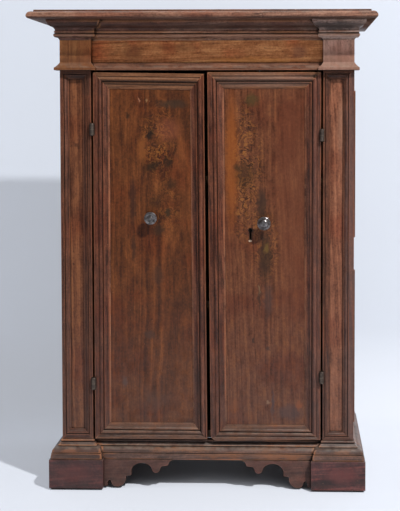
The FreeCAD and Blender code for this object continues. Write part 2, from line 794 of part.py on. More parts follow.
bracket += [("line", f"spur_width - ({spur_edge})", "0"),
            ("line", "0", f"bracket_floor_gap - bracket_top - ({total([step[2] for step in bracket])})"),
            ("line", "-spur_width", "0")]
for side, name in ((-1, "left"), (1, "right")):
    apron = padded(f"apron_bracket_{name}", "XZ_Plane", ("0", "0"), bracket, "bracket_thickness",
                   back=True, flip=-side)
    node(at(apron, f"{side} * block_inner", "front - plinth_reach + bracket_recess", "bracket_top"))

# --- frames on the sides ------------------------------------------------------------------
# The same strip, wider, planted round a field on each side board. A length of the front
# upright of the right frame is broken away.

for side, name in ((-1, "left"), (1, "right")):
    near = "case_front + side_frame_inset"
    far = "back - side_frame_inset"
    ends = (near, far) if side > 0 else (f"-({far})", f"-({near})")
    corners = [(ends[0], "side_frame_bottom"), (ends[1], "side_frame_bottom"),
               (ends[1], "side_frame_top"), (ends[0], "side_frame_top")]
    uprights, rails = mitred_frame(f"side_{name}", name, f"{side} * half_width", corners,
                                   ["side_strip"] * 4, side_moulding)
    label = f"side_frame_{name}_uprights"
    if side < 0:
        node(group(label, *uprights))
    else:
        break_away = board("broken_length", "half_width", near, "broken_from",
                           "side_strip", "side_strip", "broken_to - broken_from")
        node(cut(label, group(f"{label}_run", *uprights), break_away))
    node(group(f"side_frame_{name}_rails", *rails))

# --- doors --------------------------------------------------------------------------------
# Plank doors on two ledges, each with a mitred frame of two-step moulding. The pair was fitted
# by hand: the meeting edges lean, and the head of the left one drops towards its free edge.


def door_strip(width):
    """Section: flat edge, hollow, bead, quirk, ovolo, sloping band and a small toe."""
    members = "door_hollow_width + door_bead + door_quirk + door_ovolo_width + door_band + door_toe"
    return [("line", "0", "door_edge_height"),
            ("line", f"{width} - ({members})", "0"),
            ("arc", "door_hollow_width", "-door_hollow_drop", "-door_hollow_drop * 2"),
            ("arc", "door_bead", "0", "door_bead_rise"),
            ("line", "0", "-door_quirk_depth"),
            ("line", "door_quirk", "0"),
            ("line", "0", "door_quirk_rise"),
            ("arc", "door_ovolo_width", "-door_ovolo_drop", "door_ovolo_drop / 2"),
            ("line", "door_band", "-door_band_drop"),
            ("line", "0", "-door_step"),
            ("line", "door_toe", "0"),
            ("line", "0", "-(door_edge_height - door_hollow_drop - door_quirk_depth"
                          " + door_quirk_rise - door_ovolo_drop - door_band_drop - door_step)")]


half_gap = "meeting_gap / 2"
door_corners = {
    "left": [("-hinge_edge", "left_foot"), (f"meeting_foot - {half_gap}", "left_foot"),
             (f"meeting_top - {half_gap}", "door_head - left_head_drop"), ("-hinge_edge", "door_head")],
    "right": [(f"meeting_foot + {half_gap}", "right_foot"), ("hinge_edge", "right_foot"),
              ("hinge_edge", "door_head"), (f"meeting_top + {half_gap}", "door_head")]}
door_widths = {"left": ["door_strip", "left_free_strip", "door_strip", "door_strip"],
               "right": ["door_strip"] * 4}
knobs = {"left": ("left_knob_across", "left_knob_level"),
         "right": ("right_knob_across", "right_knob_level")}


def polygon(corners):
    """Steps round a list of corners."""
    return [("line", f"{end[0]} - ({start[0]})", f"{end[1]} - ({start[1]})")
            for start, end in zip(corners, corners[1:])]


def worn_foot(label, corner):
    """What the saw and wear have taken off a sagging door's foot: a sliver and its free corner."""
    wedge = padded(label, "XZ_Plane", ("-door_gap", "-door_gap"),
                   [("line", "opening_half + door_gap", "0"),
                    ("line", "0", "door_gap + right_foot_rise"),
                    ("line", "worn_corner_width - opening_half", "-right_foot_rise"),
                    ("arc", "-worn_corner_width", "worn_corner_height", "worn_corner_height / 3"),
                    ("line", "-door_gap", "0")],
                   "door_back - front + 2 * door_gap", back=True)
    return at(wedge, corner[0], "front - door_gap", corner[1])


def bored(body, across, high, radius):
    """A round hole through a board that stands on XZ."""
    pocket = body.newObject("PartDesign::Pocket", f"{body.Label}_bore")
    sketch = sketch_on(body, "XZ_Plane", f"{body.Label}_bore_sketch")
    centre = FreeCAD.Vector(number(across), number(high), 0)
    sketch.addGeometry(Part.Circle(centre, FreeCAD.Vector(0, 0, 1), number(radius)), False)
    ties = [(Sketcher.Constraint("Radius", 0, number(radius)), radius),
            tied("DistanceX", (-1, 1), (0, 3), across), tied("DistanceY", (-1, 1), (0, 3), high)]
    sketch.addConstraint([tie for tie, _ in ties])
    for place, (_, text) in enumerate(ties):
        sketch.setExpression(f"Constraints[{place}]", formula(text))
    pocket.Profile = sketch
    pocket.Type = "ThroughAll"
    pocket.SideType = "Symmetric"
    body.Tip = pocket


for side, name in ((-1, "left"), (1, "right")):
    corners = door_corners[name]
    across, level = knobs[name]
    label = f"{name}_door_board" if side < 0 else "right_door_plank"
    plank = padded(label, "XZ_Plane", corners[0], polygon(corners), "door_thickness", back=True)
    bored(plank, across, level, "spindle_radius + spindle_play")
    if side > 0:
        bored(plank, "keyhole_across", "keyhole_level", "keyhole_radius")
        drop = "keyhole_length - keyhole_radius"
        pocketed(plank, "XZ_Plane", ("keyhole_across - keyhole_slot / 2", "keyhole_level"),
                 [("line", "keyhole_slot", "0"), ("line", "0", f"-({drop})"),
                  ("line", "-keyhole_slot", "0")])
    at(plank, "0", "door_face", "0")
    uprights, rails = mitred_frame(f"{name}_door", "front", "door_face", corners,
                                   door_widths[name], door_strip)
    label = f"{name}_door_uprights"
    notches = barrel_notches(label, side, name)
    rails = group(f"{name}_door_rails" if side < 0 else "right_door_rail_run", *rails)
    if side > 0:
        wear = worn_foot("worn_foot", corners[0])
        plank = cut("right_door_board", plank, wear)
        rails = cut("right_door_rails", rails, wear)
        notches.append(wear)
    node(plank)
    node(cut(label, group(f"{label}_run", *uprights), *notches))
    node(rails)
    start = "-hinge_edge + ledge_margin" if side < 0 else "meeting_gap + ledge_margin"
    length = "hinge_edge - meeting_gap - 2 * ledge_margin"
    ledges = [board(f"{name}_{place}_ledge", start, "door_back", foot,
                    length, "ledge_thickness", "ledge_height")
              for place, foot in (("lower", "right_foot + ledge_inset"),
                                  ("upper", "door_head - ledge_inset - ledge_height"))]
    node(group(f"{name}_door_ledges", *ledges))

# --- hinges -------------------------------------------------------------------------------
# Lift-off hinges in the gaps beside the doors: the lower knuckle carries the pin and is fixed
# to the pilaster, the eye above it is fixed to the door. Each leaf is let in flat.

knuckle = [("line", "barrel_radius - barrel_round", "0"),
           ("arc", "barrel_round", "barrel_round", "-barrel_round / 4")]
cap = "arc", "-barrel_round", "barrel_round", "-barrel_round / 4"
pintle = [*knuckle, ("line", "0", "knuckle_height - barrel_round"),
          ("line", "hinge_pin_radius - barrel_radius", "0"),
          ("line", "0", "hinge_pin_length - hinge_pin_radius / 3"),
          ("line", "-hinge_pin_radius / 3", "hinge_pin_radius / 3"),
          ("line", "-hinge_pin_radius * 2 / 3", "0")]
bore = "(hinge_pin_radius + hinge_pin_play)"
eye = [("line", f"barrel_radius - {bore}", "0"),
       ("line", "0", "knuckle_height - barrel_round - knuckle_play"), cap,
       ("line", "barrel_round - barrel_radius", "0"),
       ("line", "0", "hinge_pin_length + hinge_pin_headroom - knuckle_height"),
       ("line", bore, "0")]

for side, name in ((-1, "left"), (1, "right")):
    halves = {"pins": [], "eyes": []}
    for place, level in zip(("upper", "lower"), hinge_levels[name]):
        turned = {"pins": revolved(f"{name}_{place}_pintle", ("0", "0"), pintle),
                  "eyes": revolved(f"{name}_{place}_eye", (bore, "0"), eye)}
        feet = {"pins": f"{level} - knuckle_height", "eyes": f"{level} + knuckle_play"}
        for half, outward in (("pins", side), ("eyes", -side)):
            at(turned[half], f"{side} * pivot_across", "pivot_depth", feet[half])
            near = f"{side} * pivot_across + {min(outward, 0)} * leaf_thickness + {outward} * leaf_offset"
            leaf = board(f"{name}_{place}_{half}_leaf", near, "pivot_depth + notch_radius + leaf_offset",
                         f"{level} - knuckle_height", "leaf_thickness",
                         "leaf_reach - notch_radius - leaf_offset", "2 * knuckle_height")
            web = board(f"{name}_{place}_{half}_web", near,
                        "pivot_depth + (barrel_radius + hinge_pin_radius) / 2",
                        f"{feet[half]} + barrel_round", "leaf_thickness",
                        "leaf_reach / 2", "knuckle_height - 2 * barrel_round")
            halves[half].append(fused(f"{name}_{place}_{half}_half", turned[half], leaf, web))
    node(group(f"hinge_pins_{name}", *halves["pins"]))
    node(group(f"{name}_hinge_eyes", *halves["eyes"]))

# --- knobs --------------------------------------------------------------------------------
# Turned iron knobs in the middle of the doors: the left flat and ringed with a boss, the right
# domed. Each spindle passes through the board to a square nut behind.

shank = [("line", "spindle_radius", "0"),
         ("line", "0", "door_thickness + nut_thickness + spindle_end"),
         ("line", "rose_radius - spindle_radius", "0"),
         ("arc", "neck_radius - rose_radius", "rose_thickness + spindle_end / 2", "rose_thickness / 2"),
         ("line", "0", "neck_length")]
faces = {"left": [("arc", "boss_radius - left_knob_radius + spindle_end", "0", "knob_dish / 3"),
                  ("arc", "knob_flat - boss_radius", "boss_height", "-boss_height / 3")],
         "right": [("arc", "spindle_end + knob_flat - right_knob_radius", "knob_dome", "-knob_dome / 2.5")]}
for name in ("left", "right"):
    across, level = knobs[name]
    radius = f"{name}_knob_radius"
    turning = [*shank,
               ("arc", f"{radius} - neck_radius", "knob_flare", "knob_dish / 2"),
               ("arc", "0", "knob_rim", "-knob_rim / 3"),
               ("line", "-spindle_end", "spindle_end / 4"),
               *faces[name],
               ("line", "-knob_flat", "0")]
    knob = revolved(f"{name}_knob", ("0", "-(door_thickness + nut_thickness + spindle_end)"), turning)
    knob.Placement.Rotation = FreeCAD.Rotation(FreeCAD.Vector(1, 0, 0), 90)
    node(at(knob, across, "door_face", level))
    nut = board(f"{name}_nut_blank", f"{across} - nut_side / 2", "door_back",
                f"{level} - nut_side / 2", "nut_side", "nut_thickness", "nut_side")
    thread = lying_rod(f"{name}_nut_bore", "spindle_radius + spindle_play", "nut_thickness",
                       across, "door_back", level)
    node(cut(f"{name}_knob_nut", nut, thread))

# --- lock on the back of the right door ---------------------------------------------------
# An iron case screwed over the keyhole, open towards the board, with the key post standing
# from its back. The bolt shoots past the door's edge into the keeper on the left door.

shell = board("lock_shell", "lock_edge", "door_back", "lock_foot",
              "lock_length", "lock_depth", "lock_height")
hollow = board("lock_hollow", "lock_edge + lock_wall", "door_back", "lock_foot + lock_wall",
               "lock_length - 2 * lock_wall", "lock_depth - lock_wall", "lock_height - 2 * lock_wall")
mouth = board("lock_mouth", "lock_edge", "door_back + bolt_standoff - bolt_play",
              "lock_bolt_level - bolt_play", "lock_wall", "lock_bolt_thickness + 2 * bolt_play",
              "lock_bolt_height + 2 * bolt_play")
post = lying_rod("key_post", "key_post_radius", "lock_depth - lock_wall / 2 + post_reach",
                 "keyhole_across", "door_back - post_reach", "keyhole_level")
rests = [board(f"bolt_rest_{turn}", f"lock_edge + {start}", "door_back + bolt_standoff",
               "lock_bolt_level - bolt_rest_height", "bolt_rest_height",
               "lock_depth - bolt_standoff - lock_wall / 2", "bolt_rest_height")
         for turn, start in enumerate(("2 * bolt_rest_height", "lock_bolt_length - bolt_rest_height"))]
node(fused("lock_case", cut("lock_walls", shell, hollow, mouth), post, *rests))

node(board("lock_bolt", "lock_edge + bolt_play", "door_back + bolt_standoff", "lock_bolt_level",
           "lock_bolt_length", "lock_bolt_thickness", "lock_bolt_height"))

spring_room = "(lock_foot + lock_height - lock_wall - lock_bolt_level - lock_bolt_height)"
sag = f"({spring_room} - spring_thickness - bolt_play)"
spring = padded("lock_spring", "XZ_Plane", ("0", "0"),
                [("line", "spring_length / 2", f"-{sag}"), ("line", "spring_length / 2", sag),
                 ("line", "0", "-spring_thickness"), ("line", "-spring_length / 2", f"-{sag}"),
                 ("line", "-spring_length / 2", sag)], "lock_bolt_thickness", back=True)
node(at(spring, "lock_edge + 2 * bolt_rest_height", "door_back + bolt_standoff",
        "lock_foot + lock_height - lock_wall"))

# --- bolt and staples on the back of the left door ----------------------------------------
# A flat slide bolt runs up behind the frieze board through two staples, which are bent iron
# and driven into the door; a third takes the lock bolt.


def staple_outline(inner, reach):
    """A square-cornered staple seen along its hole, legs towards the door."""
    return [("line", "0", reach), ("line", f"{inner} + 2 * staple_bar", "0"),
            ("line", "0", f"-({reach})"), ("line", "-staple_bar", "0"),
            ("line", "0", f"{reach} - staple_bar"), ("line", f"-({inner})", "0"),
            ("line", "0", f"staple_bar - ({reach})")]


bolt_hole = "top_bolt_width + 2 * staple_slack"
bolt_reach = "top_bolt_standoff + top_bolt_thickness + staple_slack + staple_bar"
staples = []
for place in ("lower", "upper"):
    staple = padded(f"{place}_staple", "XY_Plane", (f"-({bolt_hole}) / 2 - staple_bar", "0"),
                    staple_outline(bolt_hole, bolt_reach), "staple_width")
    staples.append(at(staple, "top_bolt_across", "door_back", f"bolt_head - {place}_staple_drop"))

keeper_hole = "lock_bolt_height + 2 * keeper_slack"
keeper_reach = "bolt_standoff + lock_bolt_thickness + keeper_slack + staple_bar"
keeper_steps = [(kind, up, across) for kind, across, up in staple_outline(keeper_hole, keeper_reach)]
keeper = padded("keeper", "YZ_Plane", ("0", f"-({keeper_hole}) / 2 - staple_bar"),
                keeper_steps, "staple_width")
staples.append(at(keeper, "meeting_top - meeting_gap / 2 + meeting_top_shift - keeper_inset - staple_width",
                  "door_back", "lock_bolt_level + lock_bolt_height / 2"))
node(group("door_staples", *staples))

slide = board("bolt_slide", "top_bolt_across - top_bolt_width / 2", "door_back + top_bolt_standoff",
              "bolt_head - top_bolt_length", "top_bolt_width", "top_bolt_thickness", "top_bolt_length")
thumb = lying_rod("bolt_thumb", "bolt_knob_radius", "top_bolt_thickness / 2 + bolt_knob_length",
                  "top_bolt_across", "door_back + top_bolt_standoff + top_bolt_thickness / 2",
                  "bolt_head - lower_staple_drop + staple_width + bolt_knob_radius + bolt_play")
node(fused("top_bolt", slide, thumb))

# --- write --------------------------------------------------------------------------------

doc.recompute()
for thing in doc.Objects:
    if "Invalid" in thing.State or "Error" in thing.State:
        raise RuntimeError(f"{thing.Label} did not build: {thing.State}")
for piece in nodes:
    if piece.Shape.isNull() or not piece.Shape.isValid():
        raise RuntimeError(f"{piece.Label} has no sound shape")
os.makedirs("parts", exist_ok=True)
for piece in nodes:
    piece.Shape.exportStep(f"parts/{piece.Label}.step")
print(len(nodes), "sub-parts,", sum(len(piece.Shape.Solids) for piece in nodes), "solids")
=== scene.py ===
import json
import math

import bmesh
import bpy
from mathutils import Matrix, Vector


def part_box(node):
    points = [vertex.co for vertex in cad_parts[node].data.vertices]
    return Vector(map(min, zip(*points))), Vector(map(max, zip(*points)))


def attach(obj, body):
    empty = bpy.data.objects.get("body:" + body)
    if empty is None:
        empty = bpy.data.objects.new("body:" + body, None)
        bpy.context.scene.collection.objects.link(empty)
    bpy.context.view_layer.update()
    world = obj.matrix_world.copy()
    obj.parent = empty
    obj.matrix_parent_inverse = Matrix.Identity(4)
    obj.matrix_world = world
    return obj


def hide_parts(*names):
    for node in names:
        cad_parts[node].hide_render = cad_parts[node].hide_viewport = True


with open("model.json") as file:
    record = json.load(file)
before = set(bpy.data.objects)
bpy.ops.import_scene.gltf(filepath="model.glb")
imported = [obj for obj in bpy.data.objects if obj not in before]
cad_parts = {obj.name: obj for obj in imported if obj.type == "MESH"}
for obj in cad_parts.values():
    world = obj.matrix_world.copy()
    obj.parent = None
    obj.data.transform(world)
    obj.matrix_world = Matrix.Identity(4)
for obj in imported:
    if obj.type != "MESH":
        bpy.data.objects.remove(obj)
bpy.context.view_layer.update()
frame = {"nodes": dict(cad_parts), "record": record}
bodies = frame["record"]["behaviour"]["bodies"]
body_of = {node: body for body, nodes in bodies.items() for node in nodes}
MM = 0.001

# --- Carcass sides ---
# Two walnut planks, one on each side, that run down inside the plinth almost to the floor. The
# bottom, top and back are nailed to them. They were hand planed, stained and waxed, and long use
# has rubbed the arrises round and packed dirt into the corners; the corners also carry painted shade.


def linear(code):
    """An sRGB hex colour as linear red, green, blue and alpha."""
    parts = [int(code[place:place + 2], 16) / 255 for place in (1, 3, 5)]
    return [c / 12.92 if c <= 0.04045 else ((c + 0.055) / 1.055) ** 2.4 for c in parts] + [1]


def add(owner, kind, inputs=(), out=0, ramp=None, **settings):
    """Add a node: sockets are linked, other inputs are set. Gives back one output."""
    tree = getattr(owner, "node_tree", owner)
    made = tree.nodes.new(kind if "Node" in kind else "ShaderNode" + kind)
    for name, value in settings.items():
        setattr(made, name, value)
    if ramp:
        while len(made.color_ramp.elements) < len(ramp):
            made.color_ramp.elements.new(0.5)
        for stop, (place, code) in zip(made.color_ramp.elements, ramp):
            stop.position, stop.color = place, linear(code)
    for name, value in dict(inputs).items():
        if isinstance(value, bpy.types.NodeSocket):
            tree.links.new(value, made.inputs[name])
        else:
            made.inputs[name].default_value = value
    return None if out is None else made.outputs[out]


def new_material(name):
    """An empty node material."""
    material = bpy.data.materials.new(name)
    material.use_nodes = True
    material.node_tree.nodes.clear()
    return material


def finished(material, **inputs):
    """Close a material with one Principled shader."""
    shader = add(material, "BsdfPrincipled", {name.replace("_", " "): value
                                              for name, value in inputs.items()})
    add(material, "OutputMaterial", {"Surface": shader}, out=None)
    return material


def blended(material, share, first, second, blend_type="MIX"):
    """Two colours mixed by a share; either may be a socket or a hex colour."""
    first, second = (linear(c) if isinstance(c, str) else c for c in (first, second))
    factor, colour_a, colour_b, colour_out = 0, 6, 7, 2         # the mix node's colour sockets
    return add(material, "Mix", {factor: share, colour_a: first, colour_b: second},
               out=colour_out, data_type="RGBA", blend_type=blend_type)


def spread(material, value, low, high, to_low=0.0, to_high=1.0):
    """A value carried smoothly from one range to another."""
    return add(material, "MapRange", {"Value": value, "From Min": low, "From Max": high,
                                      "To Min": to_low, "To Max": to_high},
               interpolation_type="SMOOTHSTEP")


def product(material, first, second, plus=0.0):
    """Two values multiplied, and a third added."""
    return add(material, "Math", {0: first, 1: second, 2: plus}, operation="MULTIPLY_ADD")


def old_wood(name, grain, tones, heart=(0.03, 0.07, 0.05), ring_mm=8, warm="#8E4C20",
             warm_share=0.4, stain_share=0.3, wear="#9C6C50", wear_share=0.5, crest=None, dirt=0.9,
             relief_mm=3, gloss=0.2, floor_grey=0.35, burls=(), marks=()):
    """Old board under worn wax: grain in three tones, then stains, wear, dirt, painted shade and
    floor dust.

    The wax gives the eye a dull, broken sheen; the wood gives rings and pores that run with the
    grain, pale rubbed arrises, and near-black dirt in the corners. Painted shade darkens corners
    and hollows further, and what faces down; the dirt setting sets how dark both are. The board
    runs along the grain axis and the heart is the middle of its log. A crest colour is the bare
    wood on mouldings whose members are relief_mm wide.
    """
    wander_mm = (260, 45)           # every figure: how long along the grain, how wide across it
    fibre_mm = (85, 2.4)            # real fibres are 0.3 mm wide, drawn coarser so that they show
    mottle_mm = (46, 17)
    blot_mm = (70, 28)
    speck_mm = (7, 4.2)
    pore_mm = (12, 0.9)             # real pores are 0.2 mm wide, drawn coarser so that they show
    worm_gap_mm = 26
    log_lean = (0.035, 0.025, 0.02)         # radians: no board is sawn quite along its log
    wander_reach, ragged_reach = 18 * MM, 20 * MM
    arris_reach, corner_reach = 2.2 * MM, 22 * MM
    relief_depth = 0.5 * MM
    tone_places = (0.39, 0.50, 0.61)
    # Soot brown for painted shade on undersides and in corners, near black for dirt and painted shade
    # in narrow hollows.
    soot_and_shade, dirt_and_shade_black = "#1A100C", "#0C0706"
    material = new_material(name)
    along = "XYZ".index(grain)
    across = [0.0 if axis == along else 1.0 for axis in range(3)]

    def grained(source, long_mm, wide_mm):
        """Coordinates for a figure so long along the grain and so wide across it."""
        scale = [1000 / (long_mm if axis == along else wide_mm) for axis in range(3)]
        return add(material, "VectorMath", {0: source, 1: scale}, operation="MULTIPLY")

    # Growth rings: the way from the heart, bent by a slow wander. Burls swell it into curls.
    place = add(material, "TexCoord", out="Object")
    log = add(material, "Mapping", {"Vector": place, "Location": heart, "Rotation": log_lean})
    wander = add(material, "TexNoise", {"Vector": grained(log, *wander_mm), "Scale": 1.0,
                                        "Detail": 2.0}, out="Color")
    bent = add(material, "VectorMath", {
        0: wander, 1: [wander_reach * share for share in across], 2: log}, operation="MULTIPLY_ADD")
    radius = add(material, "VectorMath", {
        0: add(material, "VectorMath", {0: bent, 1: across}, operation="MULTIPLY")},
        out="Value", operation="LENGTH")
    ragged = add(material, "TexNoise", {"Vector": place, "Scale": 70.0, "Detail": 3.0,
                                        "Roughness": 0.65}, out="Color")
    ragged = add(material, "VectorMath", {0: ragged, 1: [0.5] * 3}, operation="SUBTRACT")
    ragged = add(material, "VectorMath", {0: ragged, 1: [ragged_reach] * 3, 2: place},
                 operation="MULTIPLY_ADD")
    for centre, half_size, height in burls:
        swirl = add(material, "Mapping", {"Vector": ragged, "Location": centre,
                                          "Scale": half_size}, vector_type="TEXTURE")
        swirl = add(material, "VectorMath", {0: swirl}, out="Value", operation="LENGTH")
        radius = add(material, "Math", {0: radius, 1: spread(material, swirl, 1, 0, 0, height)})
    rings = add(material, "TexNoise", {"W": radius, "Scale": 1000 / ring_mm, "Detail": 2.0,
                                       "Roughness": 0.6}, noise_dimensions="1D")
    fibres = add(material, "TexNoise", {"Vector": grained(bent, *fibre_mm), "Scale": 1.0,
                                        "Detail": 4.0, "Roughness": 0.65})
    mottle = add(material, "TexNoise", {"Vector": grained(place, *mottle_mm), "Scale": 1.0,
                                        "Detail": 4.0, "Roughness": 0.62})
    flecks = add(material, "TexNoise", {"Vector": place, "Scale": 210.0, "Detail": 2.0})
    tone = product(material, rings, 0.28, product(material, mottle, 0.32,
                                                  product(material, fibres, 0.22)))
    tone = product(material, flecks, 0.18, tone)
    colour = add(material, "ValToRGB", {"Fac": tone}, ramp=list(zip(tone_places, tones)))
    clouds = add(material, "TexNoise", {"Vector": log, "Scale": 8.0, "Detail": 3.0})
    colour = blended(material, spread(material, clouds, 0.46, 0.64, 0, warm_share), colour,
                     blended(material, 1.0, colour, warm, "OVERLAY"))

    # Blots in the polish, dark and pale specks, open pores, then the marks of this very board,
    # some of them painted light and shade.
    blots = add(material, "TexNoise", {"Vector": grained(log, *blot_mm), "Scale": 1.0,
                                       "Detail": 5.0, "Roughness": 0.68})
    colour = blended(material, spread(material, blots, 0.56, 0.72, 0, stain_share), colour,
                     "#2C1D15")
    specks = add(material, "TexNoise", {"Vector": grained(place, *speck_mm), "Scale": 1.0,
                                        "Detail": 2.0})
    colour = blended(material, spread(material, specks, 0.66, 0.76, 0, 0.65), colour, "#20140F")
    colour = blended(material, spread(material, specks, 0.32, 0.24, 0, 0.3), colour, wear)
    pores = spread(material, add(material, "TexNoise", {"Vector": grained(bent, *pore_mm),
                                                        "Scale": 1.0, "Detail": 1.0}), 0.58, 0.7)
    colour = blended(material, product(material, pores, 0.35), colour, "#1E0F09")
    for mark in marks:
        colour = mark(material, place, ragged, colour)

    # Worm holes 2 mm wide, here and there; bare wood on crests and arrises.
    worm_hole = add(material, "TexVoronoi", {"Vector": place, "Scale": 1000 / worm_gap_mm},
                    out="Distance")
    worm_hole = product(material, spread(material, worm_hole, 0.042, 0.03),
                        spread(material, clouds, 0.50, 0.56))
    colour = blended(material, worm_hole, colour, "#0E0806")
    patchy = add(material, "TexNoise", {"Vector": place, "Scale": 60.0, "Detail": 3.0})
    if crest:
        crown = spread(material, add(material, "AmbientOcclusion", {"Distance": relief_mm * MM},
                                     out="AO", samples=8, inside=True, only_local=True), 0.9, 0.6)
        crown = product(material, crown, spread(material, clouds, 0.42, 0.58, 0.12, 0.9))
        colour = blended(material, crown, colour, crest)
    rubbed = spread(material, add(material, "AmbientOcclusion", {"Distance": arris_reach}, out="AO",
                                  samples=8, inside=True, only_local=True), 0.78, 0.5)
    rubbed = product(material, rubbed, spread(material, patchy, 0.38, 0.6, 0.05, wear_share))
    colour = blended(material, rubbed, colour, wear)

    # Grey dust low down and on what faces up; painted shade on what faces down, and dirt with
    # painted shade in the corners and hollows where nothing rubs.
    height = add(material, "SeparateXYZ", {0: place}, out="Z")
    dusty = product(material, spread(material, height, 0.62, 0.03, 0, floor_grey),
                    spread(material, patchy, 0.3, 0.62, 0.55, 1))
    colour = blended(material, dusty, colour, "#5F4E49")
    tilt = add(material, "SeparateXYZ", {0: add(material, "NewGeometry", out="Normal")}, out="Z")
    upward = product(material, spread(material, tilt, 0.35, 0.9, 0, 0.3),
                     spread(material, patchy, 0.35, 0.6))
    colour = blended(material, upward, colour, "#857C70")
    # Painted shade: faces that point down are darkened.
    painted_underside_shade = spread(material, tilt, -0.05, -0.7, 0, 0.6 * dirt)
    colour = blended(material, painted_underside_shade, colour, soot_and_shade)
    # Dirt and painted shade in corners and between parts.
    shade = spread(material, add(material, "AmbientOcclusion", {"Distance": corner_reach}, out="AO",
                                 samples=6), 0.8, 0.3, 0, 0.5)
    colour = blended(material, product(material, shade, dirt), colour, soot_and_shade)
    # Dirt and painted shade packed into the narrow hollows of the mouldings.
    grime_and_shade = spread(material, add(material, "AmbientOcclusion", {"Distance": 1.5 * relief_mm * MM},
                                 out="AO", samples=10), 0.8, 0.45, 0, dirt)
    colour = blended(material, grime_and_shade, colour, dirt_and_shade_black)

    # The hollows that hold dirt and painted shade are duller than the wax, and fibres stand a little
    # proud of the pores.
    rough = product(material, fibres, 0.25, 0.30)
    rough = add(material, "Math", {0: rough, 1: product(material, grime_and_shade, 0.25)})
    relief = product(material, pores, -0.5, product(material, mottle, 0.8, fibres))
    relief = product(material, worm_hole, -2.0, relief)
    bump = add(material, "Bump", {"Height": relief, "Strength": 0.45, "Distance": relief_depth})
    return finished(material, Base_Color=colour, Roughness=rough, Normal=bump,
                    Specular_IOR_Level=gloss)


def rubbed_copy(node, material, arris=0.7, planed=0.0):
    """A copy of a solid, its arrises rubbed round, that stands for the solid.

    The width of the arris is in millimetres, and so is what is planed off the rear face.
    """
    weld = 0.01 * MM
    flat, crease = math.radians(0.3), math.radians(28)
    mesh = frame["nodes"][node].data.copy()
    shape = bmesh.new()
    shape.from_mesh(mesh)
    bmesh.ops.remove_doubles(shape, verts=shape.verts, dist=weld)
    bmesh.ops.dissolve_limit(shape, angle_limit=flat, verts=shape.verts, edges=shape.edges)
    rear = max(point.co.y for point in shape.verts)
    for point in shape.verts:
        if point.co.y > rear - weld:
            point.co.y -= planed * MM
    shape.to_mesh(mesh)
    shape.free()
    mesh.shade_smooth()
    mesh.set_sharp_from_angle(angle=crease)
    mesh.materials.clear()
    mesh.materials.append(material)
    sawn = bpy.data.objects.new(node + "_sawn", mesh)
    bpy.context.scene.collection.objects.link(sawn)
    bevel = sawn.modifiers.new("arris", "BEVEL")
    bevel.width = arris * MM
    bevel.segments = 2
    bevel.limit_method = "ANGLE"
    bevel.angle_limit = crease
    bevel.harden_normals = True
    bpy.context.view_layer.update()
    done = bpy.data.meshes.new_from_object(sawn.evaluated_get(bpy.context.evaluated_depsgraph_get()))
    bpy.data.objects.remove(sawn)
    piece = bpy.data.objects.new(node + "_worked", done)
    bpy.context.scene.collection.objects.link(piece)
    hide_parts(node)
    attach(piece, body_of[node])
    return piece


side_walnut = old_wood("side_plank_walnut", "Z", ("#3A2015", "#5E3826", "#7A4C34"))
for node in ("side_board_left", "side_board_right"):
    rubbed_copy(node, side_walnut)

# --- Inside of the case ---
# Softwood boards: bottom, top, shelves on cleats, and three back boards nailed in a rebate.
# They were sawn and roughly planed and never finished: the bare wood has gone grey-brown, with
# pale worn edges, and looks dry.

bare_finish = {"warm": "#7D5F3E", "wear": "#A88E6C", "floor_grey": 0.15}
inside_tones = ("#59422F", "#7E6247", "#98795A")
inside_softwood = old_wood("aged_softwood", "X", inside_tones, **bare_finish)
deep_softwood = old_wood("aged_softwood_deep", "Y", inside_tones, **bare_finish)
for node in ("bottom_board", "carcass_top", "lower_shelf", "upper_shelf"):
    rubbed_copy(node, inside_softwood)
nail_stand = 1.4                    # nail heads stand this far out, so the boards give them room
back_hearts = {"back_board_left": (0.31, 0.04, 0), "back_board_middle": (0.05, 0.02, 0.4),
               "back_board_right": (-0.15, 0.07, 0.8)}
for node, heart in back_hearts.items():
    back_softwood = old_wood("aged_softwood_" + node, "Z", inside_tones, heart=heart, **bare_finish)
    rubbed_copy(node, back_softwood, planed=nail_stand)
rubbed_copy("shelf_cleats", deep_softwood)

# --- Pilasters ---
# A walnut plank on each front corner with a mitred frame of moulding glued on. The waxed field
# is lighter orange-brown; the strips have gone darker with handling, with bare red-brown crests.


def stain_or_painted_light(across, high, half_width, half_height, tone, share=0.6, turn=0, crisp=False):
    """A mark on an upright face: its middle, its size in millimetres, its colour.
    It serves for stains in the polish and for painted shade and highlights.

    A plain mark is soft and ragged; a crisp one has a sharp even edge.
    """
    def painted(material, place, ragged, colour):
        spot = add(material, "Mapping", {
            "Vector": place if crisp else ragged, "Location": (across * MM, 0, high * MM),
            "Rotation": (0, math.radians(turn), 0),
            "Scale": (half_width * MM, 1000, half_height * MM)}, vector_type="TEXTURE")
        reach = add(material, "VectorMath", {0: spot}, out="Value", operation="LENGTH")
        outer, inner = (1.15, 0.88) if crisp else (1.3, 0.4)
        return blended(material, spread(material, reach, outer, inner, 0, share), colour, tone)
    return painted


